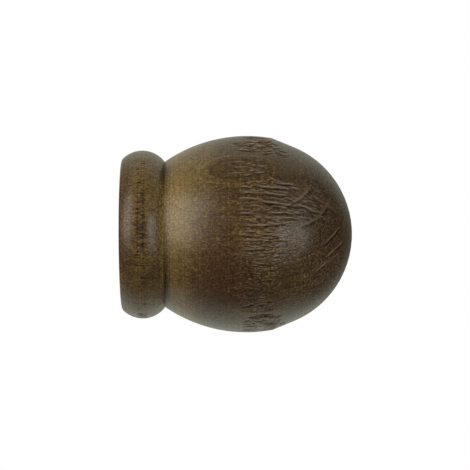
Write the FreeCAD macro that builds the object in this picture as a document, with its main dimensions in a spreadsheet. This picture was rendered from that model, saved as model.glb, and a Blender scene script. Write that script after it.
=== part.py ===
import FreeCAD, Part
import math
import os

import Sketcher

# A turned wooden finial that is pushed on to the end of a round curtain pole.
# The pole's axis is X. The origin is the middle of the socket's mouth, in the plane of the
# back face, and the nose points to +X. Lengths are in millimetres and angles in degrees.

DRIVING_SIZES = [
    ("pole_dia", 35.0, "diameter of the pole that the socket takes"),
    ("socket_clearance", 0.25, "gap all round between the pole and the socket's wall"),
    ("socket_depth", 16.0, "depth of the socket, from the back face"),
    ("mouth_chamfer", 0.5, "chamfer on the socket's mouth"),
    ("neck_wall", 4.45, "wood between the socket and the bottom of the groove"),
    ("collar_length", 13.1, "back face to the bottom of the groove"),
    ("bead_rise", 3.45, "crest of the collar's bead above the bottom of the groove"),
    ("bead_back_drop", 2.8, "crest of the bead above the rim of the back face"),
    ("rim_round", 1.5, "radius on the rim of the back face"),
    ("ball_rise", 7.8, "crown of the ball above the bottom of the groove"),
    ("crown_reach", 25.0, "bottom of the groove to the ball's widest place"),
    ("ridge_reach", 7.7, "widest place to the ridge where the nose cut starts"),
    ("flank_length", 7.1, "straight run of the nose cut, from the ridge"),
    ("flank_angle", 22.3, "slope of that straight run to the axis"),
]

# Radii that follow from the driving sizes, as formulas of the sheet.
SOCKET_RADIUS = "Sizes.pole_dia / 2 + Sizes.socket_clearance"
GROOVE_RADIUS = f"({SOCKET_RADIUS} + Sizes.neck_wall)"
CREST_RADIUS = f"({GROOVE_RADIUS} + Sizes.bead_rise)"
RIM_RADIUS = f"({CREST_RADIUS} - Sizes.bead_back_drop)"
CROWN_RADIUS = f"({GROOVE_RADIUS} + Sizes.ball_rise)"

AXIS = -1  # a sketch's own horizontal axis, and its start point is the origin
START, END, CENTRE = 1, 2, 3  # the points of a sketch's line or arc


def make_sheet(doc):
    sheet = doc.addObject("Spreadsheet::Sheet", "Sizes")
    for row, (alias, value, note) in enumerate(DRIVING_SIZES, start=1):
        sheet.set(f"A{row}", note)
        sheet.set(f"B{row}", str(value))
        sheet.setAlias(f"B{row}", alias)
    doc.recompute()
    return sheet


def origin_plane(body, role):
    return next(plane for plane in body.Origin.OriginFeatures if plane.Role == role)


def sketch_on(body, role, name):
    sketch = body.newObject("Sketcher::SketchObject", name)
    sketch.AttachmentSupport = [(origin_plane(body, role), "")]
    sketch.MapMode = "FlatFace"
    return sketch


def first_places(sheet):
    # Corners of the outline as (along the axis, out from it), which the sketch's constraints settle.
    groove_r = sheet.pole_dia / 2 + sheet.socket_clearance + sheet.neck_wall
    crest_r = groove_r + sheet.bead_rise
    crown_r = groove_r + sheet.ball_rise
    crown_x = sheet.collar_length + sheet.crown_reach
    ball_radius = (sheet.crown_reach**2 + sheet.ball_rise**2) / (2 * sheet.ball_rise)
    ridge_x = crown_x + sheet.ridge_reach
    ridge_r = crown_r - ball_radius + math.sqrt(ball_radius**2 - sheet.ridge_reach**2)
    slope = math.radians(sheet.flank_angle)
    flank_x = ridge_x + sheet.flank_length * math.cos(slope)
    flank_r = ridge_r - sheet.flank_length * math.sin(slope)
    nose_radius = flank_r / math.cos(slope)
    nose_x = flank_x - flank_r * math.tan(slope)
    halfway = (slope + math.pi / 2) / 2
    places = {
        "origin": (0, 0),
        "rim": (0, crest_r - sheet.bead_back_drop),
        "crest": (sheet.collar_length / 2, crest_r),
        "groove": (sheet.collar_length, groove_r),
        "crown": (crown_x, crown_r),
        "ridge": (ridge_x, ridge_r),
        "flank_end": (flank_x, flank_r),
        "nose_bend": (nose_x + nose_radius * math.sin(halfway), nose_radius * math.cos(halfway)),
        "tip": (nose_x + nose_radius, 0),
    }
    return {name: FreeCAD.Vector(along, out, 0) for name, (along, out) in places.items()}


def bind(sketch, name, formula, kind, *places):
    # A named size of a sketch that follows a formula of the sheet.
    value = sketch.evalExpression(formula)
    index = sketch.addConstraint(Sketcher.Constraint(kind, *places, value))
    sketch.renameConstraint(index, name)
    sketch.setExpression(f"Constraints.{name}", formula)


def mark_top(sketch, arc, top):
    # A construction line from an arc's centre straight out to the arc, which ends at the arc's top.
    line = sketch.addGeometry(Part.LineSegment(sketch.getPoint(arc, CENTRE), top), True)
    sketch.addConstraint(Sketcher.Constraint("Coincident", line, START, arc, CENTRE))
    sketch.addConstraint(Sketcher.Constraint("Vertical", line))
    sketch.addConstraint(Sketcher.Constraint("PointOnObject", line, END, arc))
    return line


def draw_outline(sketch, at):
    # Half of the turned outline: back face, bead, groove, ball, ridge, flank and nose.
    # A sketch's arcs run anticlockwise, so each of these starts at its nose end.
    back_face = sketch.addGeometry(Part.LineSegment(at["origin"], at["rim"]))
    bead = sketch.addGeometry(Part.Arc(at["groove"], at["crest"], at["rim"]))
    ball = sketch.addGeometry(Part.Arc(at["ridge"], at["crown"], at["groove"]))
    flank = sketch.addGeometry(Part.LineSegment(at["ridge"], at["flank_end"]))
    nose = sketch.addGeometry(Part.Arc(at["tip"], at["nose_bend"], at["flank_end"]))
    middle = sketch.addGeometry(Part.LineSegment(at["tip"], at["origin"]))

    joins = [
        (back_face, END, bead, END),
        (bead, START, ball, END),
        (ball, START, flank, START),
        (nose, START, middle, START),
        (middle, END, back_face, START),
        (back_face, START, AXIS, START),
    ]
    for first, first_end, second, second_end in joins:
        sketch.addConstraint(Sketcher.Constraint("Coincident", first, first_end, second, second_end))
    sketch.addConstraint(Sketcher.Constraint("Vertical", back_face))
    sketch.addConstraint(Sketcher.Constraint("Tangent", flank, END, nose, END))
    sketch.addConstraint(Sketcher.Constraint("PointOnObject", nose, CENTRE, AXIS))
    sketch.addConstraint(Sketcher.Constraint("PointOnObject", nose, START, AXIS))
    bead_top = mark_top(sketch, bead, at["crest"])
    ball_top = mark_top(sketch, ball, at["crown"])

    out = ("DistanceY", AXIS, START)
    bind(sketch, "rim_radius", RIM_RADIUS, *out, back_face, END)
    bind(sketch, "crest_radius", CREST_RADIUS, *out, bead_top, END)
    bind(sketch, "groove_radius", GROOVE_RADIUS, *out, bead, START)
    bind(sketch, "crown_radius", CROWN_RADIUS, *out, ball_top, END)
    bind(sketch, "collar_length", "Sizes.collar_length", "DistanceX", AXIS, START, bead, START)
    bind(sketch, "crown_reach", "Sizes.crown_reach", "DistanceX", bead, START, ball_top, END)
    bind(sketch, "ridge_reach", "Sizes.ridge_reach", "DistanceX", ball_top, END, flank, START)
    bind(sketch, "flank_length", "Sizes.flank_length", "Distance", flank)
    bind(sketch, "flank_angle", "Sizes.flank_angle * 1 deg", "Angle", flank, START, AXIS, START)


def mouth_edge(shape, radius):
    # The name of the round edge that has this radius and lies in the plane of the back face.
    for number, edge in enumerate(shape.Edges, start=1):
        curve = edge.Curve
        if not isinstance(curve, Part.Circle):
            continue
        if abs(curve.Center.x) < 1e-6 and abs(curve.Radius - radius) < 1e-4:
            return f"Edge{number}"
    raise RuntimeError(f"the back face has no round edge of radius {radius}")


def make_finial(doc, sheet):
    body = doc.addObject("PartDesign::Body", "finial")
    body.Label = "finial"

    outline = sketch_on(body, "XZ_Plane", "TurnedOutline")
    draw_outline(outline, first_places(sheet))
    doc.recompute()
    blank = body.newObject("PartDesign::Revolution", "TurnedBlank")
    blank.Profile = outline
    blank.ReferenceAxis = (outline, ["H_Axis"])
    blank.Angle = 360.0
    doc.recompute()

    mouth = sketch_on(body, "YZ_Plane", "SocketMouth")
    pole = Part.Circle(FreeCAD.Vector(), FreeCAD.Vector(0, 0, 1), sheet.pole_dia / 2)
    circle = mouth.addGeometry(pole)
    mouth.addConstraint(Sketcher.Constraint("Coincident", circle, CENTRE, AXIS, START))
    bind(mouth, "socket_radius", SOCKET_RADIUS, "Radius", circle)
    socket = body.newObject("PartDesign::Pocket", "PoleSocket")
    socket.Profile = mouth
    socket.Reversed = True
    socket.setExpression("Length", "Sizes.socket_depth")
    doc.recompute()
    bored = blank.Shape.Volume - socket.Shape.Volume
    socket_radius = mouth.getDatum("socket_radius").Value
    if abs(bored - math.pi * socket_radius**2 * sheet.socket_depth) > 1e-3 * bored:
        raise RuntimeError("the socket doesn't go into the wood")

    rim = body.newObject("PartDesign::Fillet", "RimRound")
    rim.Base = (socket, [mouth_edge(socket.Shape, outline.getDatum("rim_radius").Value)])
    rim.setExpression("Radius", "Sizes.rim_round")
    doc.recompute()
    lead_in = body.newObject("PartDesign::Chamfer", "MouthChamfer")
    lead_in.Base = (rim, [mouth_edge(rim.Shape, socket_radius)])
    lead_in.setExpression("Size", "Sizes.mouth_chamfer")
    doc.recompute()
    return body


def check(doc, parts):
    for item in doc.Objects:
        if "Invalid" in item.State or "Error" in item.State:
            raise RuntimeError(f"{item.Label} failed: {item.State}")
    for part in parts:
        if part.Shape.isNull() or not part.Shape.isValid() or len(part.Shape.Solids) != 1:
            raise RuntimeError(f"{part.Label} isn't one valid solid")


def export(parts):
    os.makedirs("parts", exist_ok=True)
    for part in parts:
        part.Shape.exportStep(os.path.join("parts", f"{part.Label}.step"))
        box = part.Shape.optimalBoundingBox()
        print(f"{part.Label}: {box.XLength:.2f} x {box.YLength:.2f} x {box.ZLength:.2f} mm,", end=" ")
        print(f"{part.Shape.Volume / 1000:.2f} cubic cm")


def main():
    doc = FreeCAD.newDocument("CurtainPoleFinial")
    sheet = make_sheet(doc)
    parts = [make_finial(doc, sheet)]
    doc.recompute()
    check(doc, parts)
    export(parts)


main()
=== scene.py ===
import math

import bpy
import numpy as np
from mathutils import Euler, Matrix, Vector


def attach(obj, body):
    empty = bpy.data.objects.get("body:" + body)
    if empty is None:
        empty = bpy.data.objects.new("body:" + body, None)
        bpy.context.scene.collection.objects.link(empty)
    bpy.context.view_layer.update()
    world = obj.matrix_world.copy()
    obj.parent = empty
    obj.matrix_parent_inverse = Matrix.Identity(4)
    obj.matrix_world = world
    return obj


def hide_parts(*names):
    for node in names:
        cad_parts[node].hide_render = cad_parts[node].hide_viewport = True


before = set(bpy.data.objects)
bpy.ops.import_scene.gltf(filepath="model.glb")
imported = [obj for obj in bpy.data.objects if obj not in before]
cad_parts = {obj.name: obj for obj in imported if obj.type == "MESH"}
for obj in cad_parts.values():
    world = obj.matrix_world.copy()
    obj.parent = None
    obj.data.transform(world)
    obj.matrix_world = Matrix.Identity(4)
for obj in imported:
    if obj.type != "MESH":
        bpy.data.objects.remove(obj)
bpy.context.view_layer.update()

# A turned finial for a curtain pole. X runs along the pole to the nose, and the middle of the socket's mouth
# is the origin. Degrees round the axis count up from the front, which faces the camera. Shapes are worked
# out in millimetres and go into the mesh in metres.
mm = 0.001
noiseMean = 0.5  # what a noise texture gives on average


def hexColor(text):
    # sRGB hex to linear, by the curve that displays use
    parts = np.array([int(text[i:i + 2], 16) for i in (1, 3, 5)]) / 255
    linear = np.where(parts <= 0.04045, parts / 12.92, ((parts + 0.055) / 1.055) ** 2.4)
    return (*linear.tolist(), 1.0)


def addNode(tree, kind, inputs=(), **settings):
    # One shader node: its settings, then its inputs by name or in order, each as a link or a fixed value.
    # What comes back is its outputs.
    made = tree.nodes.new("ShaderNode" + kind)
    for name, value in settings.items():
        setattr(made, name, value)
    if not isinstance(inputs, dict):
        inputs = dict(enumerate(inputs))
    for socket, value in inputs.items():
        if isinstance(value, bpy.types.NodeSocket):
            tree.links.new(value, made.inputs[socket])
        else:
            made.inputs[socket].default_value = value
    return made.outputs


def smoothStep(low, high, value):
    # 0 at low, 1 at high, an S curve between and flat beyond
    t = np.clip((value - low) / (high - low), 0, 1)
    return t * t * (3 - 2 * t)


def wrapAngle(angle):
    # the same angle between minus pi and pi
    return (angle + np.pi) % (2 * np.pi) - np.pi


def ringNoise(along, angle, cellLength, cellCount, seed):
    # Smooth noise from -1 to 1 on a tube: random values on a lattice of cells, cellLength mm long and
    # cellCount round, joined by S curves. It closes on itself round the tube.
    tableRows = 128
    table = np.random.default_rng(seed).uniform(-1, 1, (tableRows, cellCount))
    row = along / cellLength
    col = (angle / (2 * np.pi)) % 1 * cellCount
    i, j = np.floor(row).astype(int), np.floor(col).astype(int)
    s, t = smoothStep(0, 1, row - i), smoothStep(0, 1, col - j)
    i, j, k = i % (tableRows - 1), j % cellCount, (j + 1) % cellCount
    low = table[i, j] * (1 - t) + table[i, k] * t
    high = table[i + 1, j] * (1 - t) + table[i + 1, k] * t
    return low * (1 - s) + high * s


def softAreas(along, angle, areas):
    # Sum of areas that fade out as bell curves do: (mm along, degrees, half length mm, half width degrees,
    # how much).
    total = np.zeros_like(along)
    for x, degrees, halfLength, halfWidth, amount in areas:
        turn = np.degrees(wrapAngle(angle - math.radians(degrees)))
        total = total + amount * np.exp(-((along - x) / halfLength) ** 2 - (turn / halfWidth) ** 2)
    return total


finialShape = {  # sizes in mm, as the CAD model has them
    "socketRadius": 17.75,
    "socketDepth": 16.0,
    "floorStart": 1.0,  # from the axis, the first row of the socket's floor
    "mouthChamfer": 0.5,
    "rimRound": 1.5,
    "crestRadius": 25.65,
    "crestAt": 6.2855,
    "grooveRadius": 22.2,
    "grooveAt": 13.1,
    "crownRadius": 30.0,
    "crownAt": 38.1,
    "ridgeAt": 45.8,
    "flankLength": 7.1,
    "flankAngle": 22.3,
    "crestBand": 14.0,  # degrees of the bead's arc each side of its crest that get closer rows
    "burrBand": 9.0,  # degrees of the bead's arc by the groove
    "gatheredBand": 1.4,  # degrees of the ball's arc by the groove
    "noseTorn": 40.0,  # degrees of the nose's arc by the flank
    "sharpAngle": 44.0,  # degrees between faces from which an edge is drawn sharp
    "columns": 800,
    "rows": {
        "floor": 2, "wall": 4, "chamfer": 1, "face": 2, "rim": 4, "beadBack": 7, "crest": 10, "beadFront": 6,
        "burr": 4, "gathered": 4, "rear": 17, "crown": 13, "flank": 12, "nose": 30, "tip": 6,
    },
}


def arcPoints(centre, radius, start, end, count):
    # points on a circle from one angle to another, the last one left for the next stretch
    angle = np.linspace(start, end, count, endpoint=False)
    return np.stack([centre[0] + radius * np.cos(angle), centre[1] + radius * np.sin(angle)], 1)


def linePoints(start, end, count):
    # points on a straight run, the last one left for the next stretch
    share = np.linspace(0, 1, count, endpoint=False)[:, None]
    return np.array(start) * (1 - share) + np.array(end) * share


def archOver(crestAt, crestRadius, footAt, footRadius):
    # centre and radius of the circle that tops out at the crest and passes the foot
    reach, rise = footAt - crestAt, crestRadius - footRadius
    radius = (reach**2 + rise**2) / (2 * rise)
    return np.array([crestAt, crestRadius - radius]), radius


def turnedProfile(shape):
    # Half outline as (along, out) from the socket's floor to the tip, with the stretch that each point is in:
    # straight floor, wall, chamfer and face, the rim's small arc, the bead's arc, the ball's arc, a straight
    # flank and the nose's arc, which the flank touches.
    groove = shape["grooveAt"], shape["grooveRadius"]
    beadCentre, beadRadius = archOver(shape["crestAt"], shape["crestRadius"], *groove)
    ballCentre, ballRadius = archOver(shape["crownAt"], shape["crownRadius"], *groove)
    slope = math.radians(shape["flankAngle"])
    ridgeOut = ballCentre[1] + math.sqrt(ballRadius**2 - (shape["ridgeAt"] - shape["crownAt"]) ** 2)
    ridge = np.array([shape["ridgeAt"], ridgeOut])
    flankEnd = ridge + shape["flankLength"] * np.array([math.cos(slope), -math.sin(slope)])
    noseRadius = flankEnd[1] / math.cos(slope)
    noseCentre = np.array([flankEnd[0] - flankEnd[1] * math.tan(slope), 0])
    # the rim's round touches the face and the bead from inside
    roundX = shape["rimRound"]
    roundOut = beadCentre[1] + math.sqrt((beadRadius - roundX) ** 2 - (beadCentre[0] - roundX) ** 2)
    roundTurn = math.atan2(roundOut - beadCentre[1], roundX - beadCentre[0])
    grooveOnBead = math.atan2(groove[1] - beadCentre[1], groove[0] - beadCentre[0])
    grooveOnBall = math.atan2(groove[1] - ballCentre[1], groove[0] - ballCentre[0])
    ridgeOnBall = math.atan2(ridge[1] - ballCentre[1], ridge[0] - ballCentre[0])
    top = math.pi / 2
    bandNames = ("crestBand", "burrBand", "gatheredBand", "noseTorn")
    band, burr, gathered, torn = np.radians([shape[name] for name in bandNames])
    rearStart = grooveOnBall - gathered
    bore, chamfer, depth = shape["socketRadius"], shape["mouthChamfer"], shape["socketDepth"]
    rows = shape["rows"]
    stretches = {
        "floor": linePoints((depth, shape["floorStart"]), (depth, bore), rows["floor"]),
        "wall": linePoints((depth, bore), (chamfer, bore), rows["wall"]),
        "chamfer": linePoints((chamfer, bore), (0, bore + chamfer), rows["chamfer"]),
        "face": linePoints((0, bore + chamfer), (0, roundOut), rows["face"]),
        "rim": arcPoints((roundX, roundOut), shape["rimRound"], math.pi, roundTurn, rows["rim"]),
        "beadBack": arcPoints(beadCentre, beadRadius, roundTurn, top + band, rows["beadBack"]),
        "crest": arcPoints(beadCentre, beadRadius, top + band, top - band, rows["crest"]),
        "beadFront": arcPoints(beadCentre, beadRadius, top - band, grooveOnBead + burr, rows["beadFront"]),
        "burr": arcPoints(beadCentre, beadRadius, grooveOnBead + burr, grooveOnBead, rows["burr"]),
        "gathered": arcPoints(ballCentre, ballRadius, grooveOnBall, rearStart, rows["gathered"]),
        "rear": arcPoints(ballCentre, ballRadius, rearStart, top, rows["rear"]),
        "crown": arcPoints(ballCentre, ballRadius, top, ridgeOnBall, rows["crown"]),
        "flank": linePoints(ridge, flankEnd, rows["flank"]),
        "nose": arcPoints(noseCentre, noseRadius, top - slope, top - slope - torn, rows["nose"]),
        "tip": arcPoints(noseCentre, noseRadius, top - slope - torn, 0, rows["tip"]),
    }
    profile = np.concatenate(list(stretches.values()))
    stretch = np.repeat(list(stretches), [len(points) for points in stretches.values()])
    return profile, stretch, noseCentre[0] + noseRadius


def profileNormal(profile):
    # outward direction at each point: the run from the point before to the point after, turned a quarter
    run = np.gradient(profile, axis=0)
    out = np.stack([-run[:, 1], run[:, 0]], 1)
    return out / np.linalg.norm(out, axis=1, keepdims=True)


growthRings = {
    "pithDistance": 60.0,  # mm below and behind the axis
    "eyeAngle": 41.0,  # degrees, where the rings lie flat on the surface
    "lean": 0.0161,  # slope of the pith to the axis, towards the eye
    "bow": 0.0091,  # per mm, how the rings bend along the axis
    "bowEnds": -18.0,  # mm from the middle, where they run straight on to the collar
    "middleAt": 38.0,  # mm along
    "places": [15.5, 19.15, 24.35, 27.15, 29.65],  # mm from the axis towards the eye, rings seen in front
    "spacing": 3.2,  # mm, the other rings
    "others": 24,  # how many of them, each way
    # how much they show along the axis, and soft areas where they hardly do
    "shows": [(0, 0.2), (13.0, 0.2), (13.6, 0.3), (20, 0.35), (26, 0.9), (40, 1.0), (71, 1.0)],
    "fainter": [(24.0, -30.0, 26.0, 32.0, 0.8), (23.0, 12.0, 9.0, 11.0, 0.8)],
    "widest": 40.0,  # mm of the surface that a year may cover
}


def ringPhase(points, rings):
    # Years from the innermost ring: the distance from the pith, a line that leans and bows along X, read off
    # between the rings' places.
    eye = math.radians(rings["eyeAngle"])
    fromMiddle = np.maximum(points[..., 0] - rings["middleAt"], rings["bowEnds"])
    up = points[..., 2] * math.sin(eye) - points[..., 1] * math.cos(eye)
    up = up + rings["pithDistance"] - rings["lean"] * fromMiddle + rings["bow"] * fromMiddle**2
    side = points[..., 1] * math.sin(eye) + points[..., 2] * math.cos(eye)
    out = np.hypot(up, side) - rings["pithDistance"]
    steps = rings["spacing"] * np.arange(1, rings["others"] + 1)
    seen = rings["places"]
    places = np.concatenate([seen[0] - steps[::-1], seen, seen[-1] + steps])
    return np.interp(out, places, np.arange(len(places)))


def yearWidth(year, profile, widest):
    # Mm of the surface from one ring to the next: one over the slope of the year, which is taken along the
    # profile and round the axis.
    run = np.linalg.norm(np.diff(profile, axis=0), axis=1)
    alongSlope = np.gradient(year, np.concatenate([[0], np.cumsum(run)]), axis=0)
    step = 2 * np.pi * profile[:, 1:] / year.shape[1]
    roundSlope = (np.roll(year, -1, 1) - np.roll(year, 1, 1)) / (2 * step)
    return 1 / np.maximum(np.hypot(alongSlope, roundSlope), 1 / widest)


tornGrain = {
    "seed": 7,
    "fall": 0.20,  # mm, from a tear's edge to its deepest place
    "lipShare": 0.55,  # of a tear's width, the band above its edge that is worn by rubbing and painted lighter as a highlight
    "lipFull": 0.4,  # of that band, the part by the edge that is worn and lightened in full
    "lipRise": 0.12,  # mm, which the whole patch is sunk by first
    "lipHidden": 0.8,  # how much of a lip another tear's hollow takes away
    "hollowFades": (0.25, 0.75),  # of a tear's width, where its dark hollow starts to fade and where it ends; the hollow is darkened by more stain and by painted shade
    "climbShare": 0.7,  # of a tear's width, over which it climbs back
    "fullDepth": 0.32,  # mm, of a tear whose lip and hollow show in full
    # how tears leave a straight line: (mm, and the noise's cell length mm, cells round and seed)
    "wanders": [(0.16, 1.7, 90, 21), (0.07, 0.8, 260, 22)],
    # tears seen in front: (mm along, degrees, half length, rise per mm, bend per mm, width, depth)
    "seen": [
        (49.3, 32.2, 3.0, 0.11, -0.003, 1.12, 0.34),
        (46.0, 28.0, 5.0, 0.04, 0.014, 1.29, 0.40),
        (38.8, 24.1, 2.5, -0.09, -0.005, 1.03, 0.34),
        (46.3, 23.5, 3.8, 0.00, 0.026, 1.29, 0.40),
        (39.3, 20.1, 3.2, -0.12, -0.010, 1.03, 0.34),
        (45.2, 18.0, 3.4, -0.07, 0.038, 1.29, 0.40),
        (47.3, 21.4, 2.2, -0.01, 0.001, 0.86, 0.25),
        (49.3, 20.4, 1.0, -0.20, 0.000, 0.77, 0.22),
        (47.5, 16.0, 2.3, -0.04, 0.011, 0.86, 0.28),
        (54.0, 18.7, 2.4, -0.03, -0.076, 1.03, 0.34),
        (56.5, 17.3, 2.6, -0.32, 0.026, 1.20, 0.40),
        (48.5, 12.7, 3.8, 0.06, -0.008, 0.95, 0.30),
        (38.0, 11.4, 2.1, -0.04, -0.019, 1.03, 0.32),
        (44.3, 9.3, 1.6, -0.03, 0.000, 0.86, 0.28),
        (50.4, 9.7, 3.6, 0.06, -0.020, 0.86, 0.26),
        (43.6, 4.8, 6.8, 0.08, 0.011, 1.12, 0.36),
        (38.6, 7.6, 1.8, -0.39, -0.072, 0.86, 0.32),
        (37.1, 13.7, 1.4, -0.09, 0.000, 0.77, 0.24),
        (43.8, 13.8, 1.3, 0.22, 0.000, 0.77, 0.26),
        (37.9, -0.7, 2.2, -0.15, -0.017, 0.95, 0.30),
        (40.6, -3.5, 2.1, -0.07, 0.000, 0.95, 0.28),
        (47.5, -4.2, 2.5, -0.04, 0.000, 0.77, 0.22),
        (39.8, -8.9, 3.5, 0.05, -0.002, 1.03, 0.36),
        (48.7, -11.6, 1.6, -0.09, 0.000, 0.77, 0.22),
        (41.8, -14.7, 1.5, -0.02, 0.000, 0.77, 0.24),
        (40.5, 68.7, 2.7, -0.05, 0.078, 1.30, 0.34),
        (39.1, 62.8, 1.0, 0.05, 0.089, 1.50, 0.36),
        (38.9, 59.1, 0.8, 0.18, 0.000, 1.30, 0.34),
        (38.1, 57.1, 2.6, -0.04, -0.013, 1.50, 0.36),
        (44.2, 57.6, 1.4, 0.37, 0.000, 1.40, 0.36),
        (44.1, 55.0, 1.6, 0.18, 0.000, 1.40, 0.36),
        (44.8, 67.5, 1.0, 0.33, 0.000, 1.40, 0.36),
        (43.0, 62.6, 2.3, 0.21, -0.041, 1.30, 0.32),
        (47.0, 63.9, 1.1, 0.86, 0.000, 1.30, 0.34),
        (49.0, 62.4, 1.2, 0.40, 0.000, 1.20, 0.28),
        (49.2, 58.3, 1.2, 0.42, 0.000, 1.20, 0.28),
        (49.2, 56.4, 1.1, 0.56, 0.000, 1.20, 0.26),
        (34.8, 37.1, 1.5, -0.06, 0.000, 0.90, 0.26),
        (38.3, 35.6, 1.2, 0.07, 0.000, 1.00, 0.30),
        (39.4, 38.6, 0.7, 0.08, 0.000, 1.10, 0.36),
        (41.9, 37.6, 1.5, 0.11, 0.000, 1.00, 0.32),
        (42.6, 42.8, 1.0, 0.14, 0.000, 0.90, 0.30),
        (41.2, 46.6, 0.7, 0.20, 0.000, 0.90, 0.28),
        (36.0, 45.6, 2.4, -0.03, 0.000, 0.80, 0.22),
        (35.7, 41.7, 2.1, -0.09, 0.000, 0.80, 0.22),
        (38.8, -26.6, 0.7, -0.10, 0.000, 0.90, 0.34),
        (44.0, -42.7, 1.5, -0.01, 0.000, 1.00, 0.34),
        (42.2, -44.8, 0.9, 0.09, 0.000, 1.10, 0.40),
        (42.6, -39.2, 1.3, -0.08, 0.000, 0.90, 0.38),
        (39.8, -55.0, 1.3, 0.05, 0.000, 1.20, 0.44),
        (43.2, -53.6, 1.3, -0.05, 0.000, 1.20, 0.42),
        (45.6, -57.5, 1.0, 0.10, 0.000, 1.20, 0.42),
        (41.6, -61.0, 1.2, 0.00, 0.000, 1.30, 0.44),
        (44.6, -66.0, 1.4, 0.10, 0.000, 1.40, 0.46),
        (63.6, -2.0, 2.5, 1.05, 0.000, 1.20, 0.34),
        (64.1, -16.5, 2.6, 0.60, 0.000, 1.20, 0.32),
        (60.3, -27.2, 1.9, 0.38, 0.000, 1.20, 0.34),
    ],
    # patches of more tears: (mm along, degrees, half length, half width degrees, tears, half length of a
    # tear, width, depth, mean rise per mm)
    "patches": [
        (46.0, 21.0, 10.0, 13.0, 76, 1.4, 0.70, 0.18, -0.05),
        (42.2, -6.0, 5.6, 17.0, 130, 0.7, 0.66, 0.26, 0.00),
        (57.0, 22.0, 6.0, 13.0, 70, 0.8, 0.60, 0.18, -0.25),
        (41.5, 68.0, 5.5, 14.0, 34, 1.2, 1.20, 0.36, 0.05),
        (39.0, 41.0, 5.0, 5.0, 18, 1.0, 0.60, 0.16, 0.00),
        (38.0, -27.0, 9.0, 13.0, 40, 0.8, 0.50, 0.10, 0.00),
        (42.0, -45.0, 4.0, 6.0, 14, 0.8, 0.70, 0.24, 0.05),
        (43.0, -69.0, 6.0, 16.0, 60, 0.8, 0.75, 0.32, 0.00),
        (61.0, -25.0, 3.5, 6.5, 14, 1.4, 0.50, 0.16, 0.35),
        (46.0, 112.0, 9.0, 15.0, 40, 1.8, 0.80, 0.22, 0.05),
        (44.0, 158.0, 8.0, 20.0, 60, 2.4, 0.90, 0.24, -0.05),
        (47.0, 205.0, 9.0, 16.0, 56, 1.8, 0.80, 0.22, 0.05),
        (43.0, 247.0, 6.0, 10.0, 26, 1.2, 0.80, 0.24, 0.00),
        (49.5, -4.0, 4.5, 13.0, 18, 0.8, 0.50, 0.10, 0.00),
    ],
    "patchFade": (1.35, 0.9),  # of a patch's size, where it ends and where it is whole
    "sizesVary": (0.5, 1.5),  # of a patch's tears
    "riseVaries": 0.12,  # of a tear that is 1 mm long from its middle to its end
    "bendVaries": 0.02,  # per mm
    "starts": (32.0, 36.0),  # mm along, where tears start to show and where they show in full
    "startNoise": (4.0, 40, 23),  # cell length mm, cells round and seed of what makes that line ragged
    # where the rings stand out too: (mm along, degrees, half length, half width degrees)
    "rawRings": [(57.0, 22.0, 8.0, 17.0)],
    "rawBreaks": (-0.5, 0.3),  # noise at which a ring is broken off and at which it is whole
    "rawNoise": (2.2, 70, 24),  # cell length mm, cells round and seed
    "rawLip": (0.13, 0.03),  # share of the year at which its lip ends and is whole
    "rawHollow": (0.85, 0.95),  # share of the year at which its hollow starts and is whole
    "rawShow": 0.6,  # how far its lip and hollow show: lighter by rubbing and a painted highlight, darker by more stain and painted shade
    "rawDepth": 0.08,  # mm
    "pinKnot": (47.5, 56.5, 0.62),  # mm along, degrees, radius mm
    "knotEdge": 0.45,  # of its radius, half the width of the groove round it
    "knotDepth": 0.15,  # mm
    "knotDark": 0.8,  # how far that groove is darkened as a hollow: more stain and painted shade
    # ragged row of ticks along the collar's crest: (degrees, half width degrees, ticks)
    "crestTicks": [(10, 32, 150), (120, 25, 60), (190, 34, 130), (280, 20, 50)],
    "tickBunch": 0.6,  # of that half width, how far ticks spread
    "tickRows": [-0.46, 0.95],  # mm from the crest
    "tickSpread": 0.2,  # mm from those rows
    "tickSizes": (0.5, 1.2),  # how much smaller or larger than the sizes below
    "tickLength": 0.54,  # mm, half
    "tickWidth": 0.20,  # mm, half
    "tickReach": 1.2,  # of both, where a tick ends
    "tickDepth": 0.25,  # mm
    "tickDark": 1.1,  # how far a full tick is darkened as a hollow: more stain and painted shade
}


def allTears(settings):
    # The tears seen in front and then each patch's own, spread evenly over an ellipse, with sizes that vary.
    # Long ones keep to the grain more than short ones.
    rng = np.random.default_rng(settings["seed"])
    rows = [np.array(settings["seen"])]
    for along, degrees, halfLength, halfWidth, count, length, width, depth, rise in settings["patches"]:
        far = np.sqrt(rng.uniform(0, 1, count))
        turn = rng.uniform(0, 2 * np.pi, count)
        vary = rng.uniform(*settings["sizesVary"], (3, count))
        rises = rng.normal(rise, settings["riseVaries"] / length, count)
        bends = rng.normal(0, settings["bendVaries"], count)
        x = along + halfLength * far * np.cos(turn)
        places = degrees + halfWidth * far * np.sin(turn)
        lengths, widths, depths = length * vary[0], width * vary[1], depth * vary[2]
        rows.append(np.stack([x, places, lengths, rises, bends, widths, depths], 1))
    return np.concatenate(rows)


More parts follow.
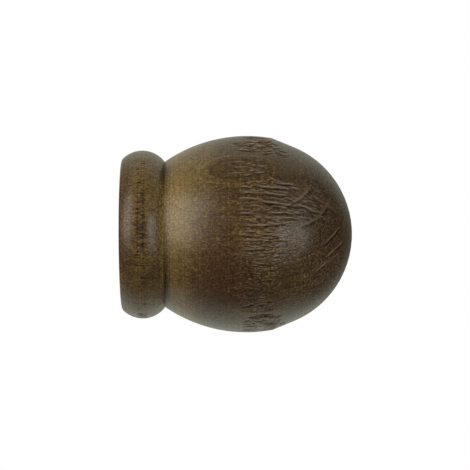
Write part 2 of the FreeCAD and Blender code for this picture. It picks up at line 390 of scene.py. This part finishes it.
def tornRelief(along, angle, out, settings):
    # Depth of the tears in mm, and how far a point is on a tear's lip or in its hollow. A tear follows the
    # grain and tapers to both ends. Across the grain, from above, its lip rises, and then it falls steeply
    # and climbs back. Where tears meet, the deepest counts.
    depth, lip, hollow = np.zeros((3, *along.shape))
    wander = sum(size * ringNoise(along, angle, *cells) for size, *cells in settings["wanders"])
    fall, climbShare = settings["fall"], settings["climbShare"]
    fadeStart, fadeEnd = settings["hollowFades"]
    for x, degrees, halfLength, rise, bend, wide, deep in allTears(settings):
        run = along - x
        taper = np.sqrt(np.clip(1 - (run / halfLength) ** 2, 0, 1))
        below = rise * run + bend * run**2 + wander - out * wrapAngle(angle - math.radians(degrees))
        strength = taper * min(deep / settings["fullDepth"], 1)
        band = settings["lipShare"] * wide
        onLip = smoothStep(-band, -settings["lipFull"] * band, below) * smoothStep(fall / 2, -fall / 2, below)
        inHollow = smoothStep(0, fall, below) * smoothStep(fadeEnd * wide, fadeStart * wide, below)
        climb = np.clip(1 - (below - fall) / (climbShare * wide * taper + 1e-6), 0, 1)
        depth = np.maximum(depth, deep * taper * smoothStep(0, fall, below) * climb)
        lip = np.maximum(lip, strength * onLip)
        hollow = np.maximum(hollow, strength * inHollow)
    return depth, lip * (1 - settings["lipHidden"] * hollow), hollow


def patchMask(along, angle, patches, fade):
    # 1 inside any of the patches, which are ellipses, and 0 outside, with an S curve between
    mask = np.zeros_like(along)
    for x, degrees, halfLength, halfWidth in patches:
        turn = np.degrees(wrapAngle(angle - math.radians(degrees)))
        far = np.hypot((along - x) / halfLength, turn / halfWidth)
        mask = np.maximum(mask, smoothStep(*fade, far))
    return mask


def crestRelief(along, angle, out, settings, crestAt):
    # Depth in mm of small pits along the grain in a ragged row on the bead's crest. A pit is a cone over an
    # ellipse, with a flat floor.
    rng = np.random.default_rng(settings["seed"] + 1)
    depth = np.zeros_like(along)
    for degrees, halfWidth, count in settings["crestTicks"]:
        turns = np.radians(rng.normal(degrees, settings["tickBunch"] * halfWidth, count))
        places = crestAt + rng.choice(settings["tickRows"], count)
        places = places + rng.normal(0, settings["tickSpread"], count)
        sizes = rng.uniform(*settings["tickSizes"], count)
        for turn, place, size in zip(turns, places, sizes):
            lengthwise = (along - place) / (settings["tickLength"] * size)
            crosswise = out * wrapAngle(angle - turn) / (settings["tickWidth"] * size)
            pit = np.clip(settings["tickReach"] - np.hypot(lengthwise, crosswise), 0, 1)
            depth = np.maximum(depth, settings["tickDepth"] * size * pit)
    return depth


def tornSurface(along, angle, out, year, settings):
    # Torn depth of the ball in mm, and how far each point is on a lip, in a hollow and inside a patch: the
    # tears, a round groove for the pin knot and the raw rings, whichever is the most, less the lips. The
    # colour lightens the lips, by rubbing and as a painted highlight, and darkens the hollows, by more stain
    # and as painted shade. All of it starts at a ragged line.
    torn, lip, hollow = tornRelief(along, angle, out, settings)
    knotAt, knotDegrees, knotRadius = settings["pinKnot"]
    toKnot = np.hypot(along - knotAt, out * wrapAngle(angle - math.radians(knotDegrees))) / knotRadius
    knot = smoothStep(settings["knotEdge"], 0, np.abs(toKnot - 1))
    torn = np.maximum(torn, settings["knotDepth"] * knot)
    hollow = np.maximum(hollow, settings["knotDark"] * knot)
    raw = patchMask(along, angle, settings["rawRings"], settings["patchFade"])
    raw = raw * smoothStep(*settings["rawBreaks"], ringNoise(along, angle, *settings["rawNoise"]))
    rawHollow = raw * smoothStep(*settings["rawHollow"], year)
    lip = np.maximum(lip, settings["rawShow"] * raw * smoothStep(*settings["rawLip"], year))
    hollow = np.maximum(hollow, settings["rawShow"] * rawHollow)
    torn = np.maximum(torn, settings["rawDepth"] * rawHollow)
    patches = [patch[:4] for patch in settings["patches"]] + settings["rawRings"]
    sunk = patchMask(along, angle, patches, settings["patchFade"])
    torn = np.clip(torn + settings["lipRise"] * (sunk - lip), 0, None)
    start = along + ringNoise(along, angle, *settings["startNoise"])
    return np.stack([torn, lip, hollow, sunk]) * smoothStep(*settings["starts"], start)


stainLayer = {
    # how thin the stain is along the axis, as (mm, 0 for dense to 1 for thin). Its peak in the groove, from
    # 12.95 to 13.45 mm, is partly thin stain and partly painted light, which lifts the shade in the V.
    "along": [
        (0, 0.48), (1.5, 0.485), (3, 0.495), (6, 0.585), (8.5, 0.575), (10.5, 0.60), (12.2, 0.615),
        (12.7, 0.68), (12.95, 0.92), (13.2, 0.94), (13.45, 0.80), (13.9, 0.68), (16, 0.74), (19, 0.72),
        (23, 0.60), (27, 0.54), (31, 0.485), (36, 0.50), (45, 0.50), (53, 0.47), (58, 0.39), (64, 0.31),
        (71, 0.31),
    ],
    # soft areas where the stain is darker, or lighter if below 0, and where it is redder. The darker ones are
    # partly more stain and partly painted shade: in the groove at its top and bottom, near the top of the
    # ball and low on its rear. The lighter ones are partly painted light.
    "denserAndShaded": [
        (13.1, 58.0, 0.7, 30.0, 0.42), (13.7, -50.0, 0.4, 40.0, 0.20), (23.0, -34.0, 11.0, 26.0, 0.12),
        (40.0, -38.0, 12.0, 18.0, 0.04), (33.5, -4.0, 4.5, 40.0, 0.015), (29.0, 150.0, 10.0, 40.0, 0.06),
        (17.0, -60.0, 8.0, 14.0, 0.08), (17.0, 58.0, 8.0, 16.0, 0.05), (48.0, 62.0, 6.0, 14.0, 0.07),
        (57.0, 45.0, 6.0, 16.0, 0.07), (58.0, -36.0, 8.0, 18.0, -0.08), (43.0, -5.0, 7.0, 15.0, -0.065),
        (41.0, 67.0, 7.0, 14.0, 0.13), (47.5, 20.0, 9.0, 12.0, 0.08), (54.0, 19.0, 4.0, 8.0, 0.06),
        (38.0, 41.0, 7.0, 9.0, 0.03), (43.0, -64.0, 6.0, 12.0, -0.07),
    ],
    "redder": [
        (31.0, -14.0, 11.0, 34.0, 0.4), (26.0, -42.0, 16.0, 22.0, 0.35), (30.0, 170.0, 12.0, 45.0, 0.5),
    ],
    "runsIn": (0.4, 3.0),  # mm into the socket, where it starts to fade and where the wood is bare
    "endGrain": (0.3, 0.8),  # how far a surface faces along the axis where end grain starts and is full
    "tip": (0.8, 0.95),  # the same for the tip, where end grain shows less
    "tipLess": 0.5,  # how much less
    "rearShare": 0.3,  # of end grain, what shows behind the crown
}


def turnedFaces(rows, columns):
    # Quads between each row of points and the next, closed round the axis, and at both ends a fan of
    # triangles to one point.
    i, j = np.meshgrid(np.arange(rows - 1), np.arange(columns), indexing="ij")
    k = (j + 1) % columns
    quads = np.stack([i * columns + j, i * columns + k, (i + 1) * columns + k, (i + 1) * columns + j], -1)
    j, k = j[0], k[0]
    start, last = rows * columns, (rows - 1) * columns
    startFan = np.stack([np.full(columns, start), k, j], 1)
    endFan = np.stack([np.full(columns, start + 1), last + j, last + k], 1)
    return quads.reshape(-1, 4).tolist() + startFan.tolist() + endFan.tolist()


def buildFinial(shape, grain, rings, stain):
    # The turned surface: the profile carried round the axis, P(s, v) = (x(s), -r(s) cos v, r(s) sin v) with v
    # the angle above the front, less the torn depth along the profile's outward normal. Both ends close on
    # one point.
    profile, stretch, tipAt = turnedProfile(shape)
    normal = profileNormal(profile)
    rows, columns = len(profile), shape["columns"]
    round360 = np.linspace(0, 2 * np.pi, columns, endpoint=False)
    along = np.repeat(profile[:, :1], columns, 1)
    out = np.repeat(profile[:, 1:], columns, 1)
    angle = np.repeat(round360[None, :], rows, 0)
    onBall = np.isin(stretch, ["gathered", "rear", "crown", "flank", "nose", "tip"])[:, None]
    onBead = np.isin(stretch, ["beadBack", "crest", "beadFront", "burr"])[:, None]
    inSocket = np.isin(stretch, ["floor", "wall"])[:, None]

    smooth = np.stack([along, -out * np.cos(angle), out * np.sin(angle)], -1)
    growthYear = ringPhase(smooth, rings)
    torn, lip, hollow, sunk = tornSurface(along, angle, out, growthYear % 1, grain) * onBall
    ticks = crestRelief(along, angle, out, grain, shape["crestAt"]) * onBead
    # the pits are darkened as hollows too, by more stain and painted shade
    hollow = np.maximum(hollow, np.clip(grain["tickDark"] * ticks / grain["tickDepth"], 0, 1))
    depth = torn + ticks
    place = profile[:, None, :] - normal[:, None, :] * depth[:, :, None]
    x, r = place[..., 0], place[..., 1]
    points = np.stack([x, -r * np.cos(angle), r * np.sin(angle)], -1).reshape(-1, 3)
    points = np.concatenate([points, [[shape["socketDepth"], 0, 0], [tipAt, 0, 0]]])
    mesh = bpy.data.meshes.new("turnedFinial")
    mesh.from_pydata((points * mm).tolist(), [], turnedFaces(rows, columns))

    ringShow = np.interp(along, *np.array(rings["shows"]).T) - softAreas(along, angle, rings["fainter"])
    facing = np.abs(normal[:, :1])
    endGrain = smoothStep(*stain["endGrain"], facing)
    endGrain = endGrain * (1 - stain["tipLess"] * smoothStep(*stain["tip"], facing))
    fields = {
        "tornPatch": sunk,
        # hollows that the colour darkens with more stain and painted shade, and lips that it lightens by
        # rubbing and a painted highlight
        "hollowStainAndShade": hollow,
        "lipRubAndHighlight": lip,
        "bareWood": inSocket * smoothStep(*stain["runsIn"], along),
        # how thin the stain is, with painted light in the groove and painted shade in some soft areas
        "thinStainAndLight": np.interp(along, *np.array(stain["along"]).T) - softAreas(along, angle, stain["denserAndShaded"]),
        "redStain": softAreas(along, angle, stain["redder"]),
        "growthYear": growthYear,
        "ringShow": np.clip(ringShow, 0, 1),
        "yearWidth": yearWidth(growthYear, profile, rings["widest"]),
        "endGrain": endGrain * np.where(along > shape["crownAt"], 1.0, stain["rearShare"]),
    }
    for name, field in fields.items():
        values = np.concatenate([field.ravel(), [field[0, 0], field[-1, 0]]])  # ends as the rows beside them
        mesh.attributes.new(name, "FLOAT", "POINT").data.foreach_set("value", values.astype(np.float32))

    mesh.polygons.foreach_set("use_smooth", np.ones(len(mesh.polygons), bool))
    mesh.update()
    mesh.set_sharp_from_angle(angle=math.radians(shape["sharpAngle"]))
    piece = bpy.data.objects.new("turnedFinial", mesh)
    bpy.context.scene.collection.objects.link(piece)
    return piece


stainedBeech = {
    "denseStain": "#211204",
    "stain": "#5e4726",
    "redStain": "#5e4028",
    # the thin stain's colour, which the groove is also lightened towards as painted light
    "thinStainAndLight": "#b89b58",
    # colour of the tears' lips, worn by rubbing and painted lighter as a highlight
    "rubbedAndLitWood": "#b19978",
    "rubbedAndLit": 0.85,  # how far a tear's lip takes that colour, as wear and as a painted highlight
    "bareDark": "#8f6c46",
    "bareLight": "#c9a679",
    "bareTones": (0.10, 0.40),  # where the pattern of bare wood is dark and where it is light
    "bareRing": -0.14,  # how a ring moves that
    "swayScale": 0.09,  # waves per mm
    "sway": 1.6,  # mm, how far the grain sways
    # Noise: (length along the grain mm, width mm, detail, whether it sways). Real pores, hairs and flecks are
    # finer than these, which are as coarse as they need to be to show.
    "patterns": {
        "fibre": (14.0, 0.7, 3.0, True),
        "pore": (0.7, 0.34, 2.0, False),
        "mottle": (3.2, 1.6, 2.0, True),
        "blotch": (14.0, 14.0, 3.0, True),
        "hair": (1.0, 0.30, 1.0, True),  # loose hairs of wood in the torn patches
        "fleck": (0.5, 0.5, 2.0, False),  # end grain, which takes the stain unevenly
    },
    "turnWidth": 0.45,  # mm, the rings that the turning left
    "ringLines": [(0.02, 0.5), (0.09, 0.6)],  # light and dark: how late in the year, half width mm
    "ringWaver": 0.04,  # of a year, how far fibres move them
    # how thin the stain looks: where it starts, how each pattern moves it, and the tones of the three stains
    "toneStart": -0.44,
    "toneMoves": {
        "fibre": 0.34, "blotch": 0.30, "mottle": 0.12, "turning": 0.18, "lightRing": 0.15, "darkRing": -0.17,
        # the hollows, darker by more stain and painted shade
        "hollowStainAndShade": -0.58,
    },
    "tones": (0.0, 0.5, 1.0),
    # fine marks: how much each lightens, or darkens if below 0
    "marks": {"speck": -3.9, "fleck": 17.5, "hair": 7.0, "scratch": -1.0},
    "speckShow": (0.45, 0.75, 1.15, 0.38),  # thin from, thin to, how much specks show at each
    # the most that marks lighten and darken, and by how much in red, green and blue: blue varies most, so
    # that they keep their hue under the sheen
    "lightest": 1.1,
    "lightTint": (1.0, 1.16, 2.3),
    "darkest": -0.6,
    "darkTint": (1.0, 1.04, 1.3),
    # scratches across the grain in front: from (mm along, mm up) to the same, how dark
    "scratches": [((9.4, 6.7), (13.2, 9.0), 0.62), ((15.2, 9.1), (21.5, 6.1), 0.42)],
    "scratchWidth": 0.34,  # mm, half, drawn wider than it is so that it shows
    "poreHoles": (0.50, 0.74),  # noise at which a pore starts and is deepest
    "poreBump": -0.6,  # against a fibre's height of 1
    "hairBump": 2.2,
    "bumpStrength": 0.7,
    "bumpHeight": 0.10,  # mm
    "ior": 1.42,
    "roughness": 0.43,
    "roughMoves": {"pore": 0.16, "hollowStainAndShade": 0.3, "bareWood": 0.3},  # how much each roughens
    "sheen": 0.5,  # of side grain
    "endSheen": 0.28,  # of end grain, which soaks the sealer up
    "sealer": 0.30,  # a thin satin coat
    "sealerRoughness": 0.28,
}


def noisePatterns(tree, inMm, look):
    # each pattern: noise in mm, stretched along X, and where it sways moved by slower noise
    sway = addNode(tree, "TexNoise", {"Vector": inMm, "Scale": look["swayScale"], "Detail": 3.0})["Color"]
    sway = addNode(tree, "VectorMath", [sway, (noiseMean,) * 3], operation="SUBTRACT")[0]
    grain = addNode(tree, "VectorMath", [sway, (look["sway"],) * 3, inMm], operation="MULTIPLY_ADD")[0]
    patterns = {}
    for name, (length, width, detail, sways) in look["patterns"].items():
        stretched = {"Vector": grain if sways else inMm, "Scale": (1 / length, 1 / width, 1 / width)}
        place = addNode(tree, "Mapping", stretched)[0]
        patterns[name] = addNode(tree, "TexNoise", {"Vector": place, "Scale": 1.0, "Detail": detail})[0]
    alongX = addNode(tree, "SeparateXYZ", [inMm])["X"]
    turned = {"W": alongX, "Scale": 1 / look["turnWidth"], "Detail": 1.0}
    patterns["turning"] = addNode(tree, "TexNoise", turned, noise_dimensions="1D")[0]
    return patterns


def ringLines(tree, fields, fibre, look):
    # A ring is a light line and a dark one a little later in the year. Each fades out with the distance from
    # its moment: the share of a year between them times the mm that a year covers.
    lines = []
    for lateness, halfWidth in look["ringLines"]:
        near = addNode(tree, "Math", [fields["growthYear"], 0.5 - lateness], operation="ADD")[0]
        near = addNode(tree, "Math", [fibre, look["ringWaver"], near], operation="MULTIPLY_ADD")[0]
        near = addNode(tree, "Math", [near], operation="FRACT")[0]
        near = addNode(tree, "Math", [near, 0.5], operation="SUBTRACT")[0]
        near = addNode(tree, "Math", [near, fields["yearWidth"]], operation="MULTIPLY")[0]
        near = addNode(tree, "Math", [near], operation="ABSOLUTE")[0]
        lines.append(addNode(tree, "MapRange", [near, 0.0, halfWidth, fields["ringShow"], 0.0])[0])
    return lines


def scratchMarks(tree, inMm, look):
    # A scratch is dark near the straight line between its ends as the front shows it: the distance in X and Z
    # to the nearest place on that line, where Y is below 0.
    flat = addNode(tree, "VectorMath", [inMm, (1, 0, 1)], operation="MULTIPLY")[0]
    scratch = 0.0
    for (startX, startZ), (endX, endZ), dark in look["scratches"]:
        start = Vector((startX, 0, startZ))
        run = Vector((endX - startX, 0, endZ - startZ))
        step = run / run.length_squared
        share = addNode(tree, "VectorMath", [flat, start], operation="SUBTRACT")[0]
        share = addNode(tree, "VectorMath", [share, step], operation="DOT_PRODUCT")["Value"]
        share = addNode(tree, "MapRange", [share])[0]
        near = addNode(tree, "VectorMath", [share, run, start], operation="MULTIPLY_ADD")[0]
        near = addNode(tree, "VectorMath", [flat, near], operation="DISTANCE")["Value"]
        near = addNode(tree, "MapRange", {0: near, 1: look["scratchWidth"], 2: 0.0, 4: dark})[0]
        scratch = addNode(tree, "Math", [near, scratch], operation="MAXIMUM")[0]
    front = addNode(tree, "SeparateXYZ", [inMm])["Y"]
    front = addNode(tree, "Math", [front, 0.0], operation="LESS_THAN")[0]
    return addNode(tree, "Math", [scratch, front], operation="MULTIPLY")[0]


def stainedBeechMaterial(look):
    # Beech, turned, stained dark and sealed thin and satin: fine pores and fibres along X, faint growth
    # rings, loose hairs in torn grain, with hollows darkened by more stain and painted shade and lips
    # lightened by rubbing and a painted highlight, thin stain and painted light by the groove, painted shade
    # in some soft areas, flecked end grain and a soft sheen.
    material = bpy.data.materials.new("darkStainedBeech")
    material.use_nodes = True
    tree = material.node_tree
    tree.nodes.clear()
    place = addNode(tree, "TexCoord")["Object"]
    inMm = addNode(tree, "Mapping", {"Vector": place, "Scale": (1 / mm,) * 3})[0]
    patterns = noisePatterns(tree, inMm, look)
    fibre, pore = patterns["fibre"], patterns["pore"]
    for name in ("tornPatch", "hollowStainAndShade", "lipRubAndHighlight", "bareWood", "thinStainAndLight", "redStain", "endGrain",
                 "growthYear", "ringShow", "yearWidth"):
        patterns[name] = addNode(tree, "Attribute", attribute_name=name)["Fac"]
    patterns["lightRing"], patterns["darkRing"] = ringLines(tree, patterns, fibre, look)

    # the patterns' sum says how thin the stain looks, and that picks its colour; it carries painted light in
    # the groove and painted shade in soft areas and in the hollows as well
    tone = addNode(tree, "Math", [patterns["thinStainAndLight"], look["toneStart"]], operation="ADD")[0]
    for name, amount in look["toneMoves"].items():
        tone = addNode(tree, "Math", [patterns[name], amount, tone], operation="MULTIPLY_ADD")[0]
    dense, usual, thin = look["tones"]
    toUsual = addNode(tree, "MapRange", [tone, dense, usual])[0]
    toThin = addNode(tree, "MapRange", [tone, usual, thin])[0]
    reddened = {0: patterns["redStain"], 6: hexColor(look["stain"]), 7: hexColor(look["redStain"])}
    color = addNode(tree, "Mix", reddened, data_type="RGBA")[2]
    color = addNode(tree, "Mix", {0: toUsual, 6: hexColor(look["denseStain"]), 7: color}, data_type="RGBA")[2]
    color = addNode(tree, "Mix", {0: toThin, 6: color, 7: hexColor(look["thinStainAndLight"])}, data_type="RGBA")[2]

    # fine marks are darker or lighter, not thinner: pores where the stain is dense, hairs in torn patches,
    # flecks in end grain and the scratches
    showPores = addNode(tree, "MapRange", [patterns["thinStainAndLight"], *look["speckShow"]])[0]
    marks = {"scratch": scratchMarks(tree, inMm, look)}
    for mark, pattern, show in (
        ("speck", pore, showPores),
        ("hair", patterns["hair"], patterns["tornPatch"]),
        ("fleck", patterns["fleck"], patterns["endGrain"]),
    ):
        marks[mark] = addNode(tree, "Math", [pattern, noiseMean], operation="SUBTRACT")[0]
        marks[mark] = addNode(tree, "Math", [marks[mark], show], operation="MULTIPLY")[0]
    value = 0.0
    for mark, amount in look["marks"].items():
        value = addNode(tree, "Math", [marks[mark], amount, value], operation="MULTIPLY_ADD")[0]
    lightest, darkest = look["lightest"], look["darkest"]
    lighter = addNode(tree, "MapRange", [value, 0.0, lightest, 0.0, lightest])[0]
    darker = addNode(tree, "MapRange", [value, darkest, 0.0, darkest, 0.0])[0]
    shade = (1.0,) * 3
    for amount, tint in ((lighter, look["lightTint"]), (darker, look["darkTint"])):
        shade = addNode(tree, "VectorMath", [amount, tint, shade], operation="MULTIPLY_ADD")[0]
    color = addNode(tree, "VectorMath", [color, shade], operation="MULTIPLY")[0]

    # lips worn through by rubbing and painted lighter as a highlight, and bare wood in the socket
    rubbedAndLit = addNode(tree, "Math", [patterns["lipRubAndHighlight"], look["rubbedAndLit"]], operation="MULTIPLY")[0]
    color = addNode(tree, "Mix", {0: rubbedAndLit, 6: color, 7: hexColor(look["rubbedAndLitWood"])}, data_type="RGBA")[2]
    bare = addNode(tree, "Math", [fibre, pore], operation="MULTIPLY")[0]
    bare = addNode(tree, "Math", [patterns["darkRing"], look["bareRing"], bare], operation="MULTIPLY_ADD")[0]
    bare = addNode(tree, "MapRange", [bare, *look["bareTones"]])[0]
    bareColors = {0: bare, 6: hexColor(look["bareDark"]), 7: hexColor(look["bareLight"])}
    bareColor = addNode(tree, "Mix", bareColors, data_type="RGBA")[2]
    color = addNode(tree, "Mix", {0: patterns["bareWood"], 6: color, 7: bareColor}, data_type="RGBA")[2]

    rough = look["roughness"] - look["roughMoves"]["pore"] * noiseMean
    for name, amount in look["roughMoves"].items():
        rough = addNode(tree, "Math", [patterns[name], amount, rough], operation="MULTIPLY_ADD")[0]
    height = addNode(tree, "MapRange", [pore, *look["poreHoles"]])[0]
    height = addNode(tree, "Math", [height, look["poreBump"], fibre], operation="MULTIPLY_ADD")[0]
    height = addNode(tree, "Math", [height, showPores], operation="MULTIPLY")[0]
    height = addNode(tree, "Math", [marks["hair"], look["hairBump"], height], operation="MULTIPLY_ADD")[0]
    relief = {"Strength": look["bumpStrength"], "Distance": look["bumpHeight"] * mm, "Height": height}
    bump = addNode(tree, "Bump", relief)[0]
    sheen = addNode(tree, "MapRange", {0: patterns["endGrain"], 3: look["sheen"], 4: look["endSheen"]})[0]
    surface = {
        "Base Color": color, "Roughness": rough, "IOR": look["ior"], "Specular IOR Level": sheen,
        "Normal": bump, "Coat Weight": look["sealer"], "Coat Roughness": look["sealerRoughness"],
    }
    shader = addNode(tree, "BsdfPrincipled", surface)[0]
    addNode(tree, "OutputMaterial", {"Surface": shader})
    return material


finial = buildFinial(finialShape, tornGrain, growthRings, stainLayer)
finial.data.materials.append(stainedBeechMaterial(stainedBeech))
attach(finial, "root")
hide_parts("finial")
print("turned finial:", len(finial.data.polygons), "faces")

paleFloor = {
    "middle": (35.0, 0.0, -200.0),  # mm, below the finial, which is shown as its pole holds it
    "radius": 900.0,  # mm
    "rings": 12,
    "columns": 96,
    "color": "#f4f4f3",
    "paler": 0.5,  # share of plain white that the camera sees, so that the shadow stays
    "fades": (0.35, 0.95),  # of the radius, where it starts to fade out and where it is gone
}


def buildFloor(shape):
    # a flat disc, P(d, v) = middle + (d cos v, d sin v)
    far = np.linspace(0, shape["radius"], shape["rings"])[1:]
    columns = shape["columns"]
    turn = np.linspace(0, 2 * np.pi, columns, endpoint=False)
    d, v = np.meshgrid(far, turn, indexing="ij")
    middle = np.array(shape["middle"])
    disc = middle + np.stack([d * np.cos(v), d * np.sin(v), 0 * d], -1).reshape(-1, 3)
    i, j = np.meshgrid(np.arange(len(far) - 1), np.arange(columns), indexing="ij")
    k = (j + 1) % columns
    quads = np.stack([i * columns + j, (i + 1) * columns + j, (i + 1) * columns + k, i * columns + k], -1)
    fan = np.stack([np.full(columns, len(disc)), j[0], k[0]], 1)
    mesh = bpy.data.meshes.new("paleFloor")
    points = np.concatenate([disc, [middle]]) * mm
    mesh.from_pydata(points.tolist(), [], quads.reshape(-1, 4).tolist() + fan.tolist())
    floor = bpy.data.objects.new("paleFloor", mesh)
    bpy.context.scene.collection.objects.link(floor)
    return floor


def floorMaterial(shape):
    # matt white paper that fades into the white background with the distance from its middle
    material = bpy.data.materials.new("whitePaper")
    material.use_nodes = True
    tree = material.node_tree
    tree.nodes.clear()
    place = addNode(tree, "TexCoord")["Object"]
    middle = tuple(value * mm for value in shape["middle"])
    far = addNode(tree, "VectorMath", [place, middle], operation="DISTANCE")["Value"]
    fadeStart, fadeEnd = (share * shape["radius"] * mm for share in shape["fades"])
    fade = addNode(tree, "MapRange", [far, fadeStart, fadeEnd], interpolation_type="SMOOTHSTEP")[0]
    lit = addNode(tree, "BsdfDiffuse", {"Color": hexColor(shape["color"])})[0]
    white = addNode(tree, "Emission", {"Color": hexColor("#ffffff"), "Strength": 1.0})[0]
    camera = addNode(tree, "LightPath")["Is Camera Ray"]
    paler = addNode(tree, "Math", [camera, shape["paler"]], operation="MULTIPLY")[0]
    paper = addNode(tree, "MixShader", [paler, lit, white])[0]
    clear = addNode(tree, "BsdfTransparent")[0]
    mixed = addNode(tree, "MixShader", [fade, paper, clear])[0]
    addNode(tree, "OutputMaterial", {"Surface": mixed})
    return material


floor = buildFloor(paleFloor)
floor.data.materials.append(floorMaterial(paleFloor))
# it lights nothing from below
floor.visible_diffuse = floor.visible_glossy = floor.visible_transmission = False

# (degrees to the right of the camera, degrees above level, distance m, width m, height m, watts, colour)
studioLamps = {
    "leftSoftbox": (-56, 17, 1.0, 0.6, 0.9, 6.1, "#fffaf3"),
    "rightSoftbox": (46, 5, 1.0, 0.5, 0.6, 3.4, "#ffffff"),
}
lampTarget = Vector((35 * mm, 0, 0))  # the middle of the finial


def addLamp(name, settings, target):
    # A soft lamp on a sphere round the target: target + distance (sin v cos h, -cos v cos h, sin h), with v
    # the angle to the right and h the angle above level. It points at the target, upright.
    degrees, rise, distance, width, height, watts, color = settings
    turn, lift = math.radians(degrees), math.radians(rise)
    level = math.cos(lift)
    place = target + distance * Vector((math.sin(turn) * level, -math.cos(turn) * level, math.sin(lift)))
    light = bpy.data.lights.new(name, "AREA")
    light.shape = "RECTANGLE"
    light.size, light.size_y, light.energy = width, height, watts
    light.color = hexColor(color)[:3]
    lamp = bpy.data.objects.new(name, light)
    lamp.location = place
    lamp.rotation_euler = (target - place).to_track_quat("-Z", "Y").to_euler()
    bpy.context.scene.collection.objects.link(lamp)


for lampName, lampSettings in studioLamps.items():
    addLamp(lampName, lampSettings, lampTarget)

whiteStudio = {
    "paper": "#f6faea",  # colour of the sheet as gloss shows it
    "softLight": "#fff7ea",  # colour of the rest of the light
    "dimRoom": 0.02,  # what gloss shows of the room in front and at the sides
    # S curves over a direction, which has X to the right, Y to the rear and Z up: (axis, from, to, level at
    # from, level at to)
    "curves": {
        "ambient": ("Z", -0.3, 0.6, 0.01, 0.08),  # light from all round, more from above
        "rearAmbient": ("Z", 0.1, -0.5, 0.65, 1.6),  # and from behind, more where the sheet runs under
        "rear": ("Y", 0.1, 0.8, 0.0, 1.0),  # where that comes from
        "behind": ("Y", -0.1, 0.35, 0.0, 1.0),  # where gloss shows the sheet
        "paperAbove": ("Z", -0.15, 0.35, 0.0, 0.74),  # how white the sheet is, above
        "paperBelow": ("Z", 0.1, -0.5, 0.0, 1.0),  # and below
    },
    "sheetAskew": (-0.6, 0.5, 0.12, -0.06),  # Z from, Z to, how far left the sheet's middle is at each
    "sheetSides": (0.80, 0.42),  # from its middle, where the sheet ends and where it is whole
}


def buildWorld(levels):
    # White to the camera. Gloss shows a white sheet that hangs behind the object and runs on under it, in a
    # dim room. The rest of the light comes softly from above and behind.
    world = bpy.data.worlds.new("whiteStudio")
    world.use_nodes = True
    tree = world.node_tree
    tree.nodes.clear()
    rays = addNode(tree, "LightPath")
    direction = addNode(tree, "TexCoord")["Generated"]
    away = addNode(tree, "SeparateXYZ", [direction])
    smooth = {"interpolation_type": "SMOOTHSTEP"}
    curves = {}
    for name, (axis, *span) in levels["curves"].items():
        curves[name] = addNode(tree, "MapRange", [away[axis], *span], **smooth)[0]
    fromRear = addNode(tree, "Math", [curves["rear"], curves["rearAmbient"]], operation="MULTIPLY")[0]
    ambient = addNode(tree, "Math", [fromRear, curves["ambient"]], operation="ADD")[0]

    sheet = addNode(tree, "Math", [curves["paperAbove"], curves["paperBelow"]], operation="ADD")[0]
    askew = addNode(tree, "MapRange", [away["Z"], *levels["sheetAskew"]])[0]
    aside = addNode(tree, "Math", [away["X"], askew], operation="ADD")[0]
    aside = addNode(tree, "Math", [aside], operation="ABSOLUTE")[0]
    within = addNode(tree, "MapRange", [aside, *levels["sheetSides"]], **smooth)[0]
    sheet = addNode(tree, "Math", [sheet, within], operation="MULTIPLY")[0]
    gloss = addNode(tree, "Math", [sheet, curves["behind"], levels["dimRoom"]], operation="MULTIPLY_ADD")[0]

    camera = rays["Is Camera Ray"]
    glossy, through = rays["Is Glossy Ray"], rays["Is Transmission Ray"]
    mirrored = addNode(tree, "Math", [glossy, through], operation="MAXIMUM")[0]
    level = addNode(tree, "Mix", {0: mirrored, 2: ambient, 3: gloss})[0]
    level = addNode(tree, "Mix", {0: camera, 2: level, 3: 1.0})[0]
    tints = {0: mirrored, 6: hexColor(levels["softLight"]), 7: hexColor(levels["paper"])}
    tint = addNode(tree, "Mix", tints, data_type="RGBA")[2]
    tint = addNode(tree, "Mix", {0: camera, 6: tint, 7: hexColor("#ffffff")}, data_type="RGBA")[2]
    background = addNode(tree, "Background", {"Color": tint, "Strength": level})[0]
    addNode(tree, "OutputWorld", {"Surface": background})
    return world


bpy.context.scene.world = buildWorld(whiteStudio)
print("studio: floor,", len(studioLamps), "softboxes and white surroundings")

photoView = {  # the photograph is 470 px square, level with the axis and square to it
    "mmPerPixel": 0.30578,
    "backFacePixel": 122.2,
    "axisPixel": 234.2,
    "middlePixel": 235.0,
    "framePixels": 470,
    "distance": 698.0,  # mm
    "roll": 0.2,  # degrees
    "sensorWidth": 36.0,  # mm
    "clipStart": 0.01,  # m
}
camera = bpy.data.cameras.new("photoCamera")
camera.sensor_width = photoView["sensorWidth"]
frameWidth = photoView["framePixels"] * photoView["mmPerPixel"]
camera.lens = camera.sensor_width * photoView["distance"] / frameWidth
camera.clip_start = photoView["clipStart"]
cameraObject = bpy.data.objects.new("photoCamera", camera)
cameraObject.location = Vector((
    (photoView["middlePixel"] - photoView["backFacePixel"]) * photoView["mmPerPixel"],
    -photoView["distance"],
    (photoView["axisPixel"] - photoView["middlePixel"]) * photoView["mmPerPixel"],
)) * mm
cameraObject.rotation_euler = Euler((math.pi / 2, math.radians(photoView["roll"]), 0))
bpy.context.scene.collection.objects.link(cameraObject)
bpy.context.scene.camera = cameraObject
bpy.context.scene.view_settings.view_transform = "Standard"
print("camera: lens", round(camera.lens, 1), "mm")
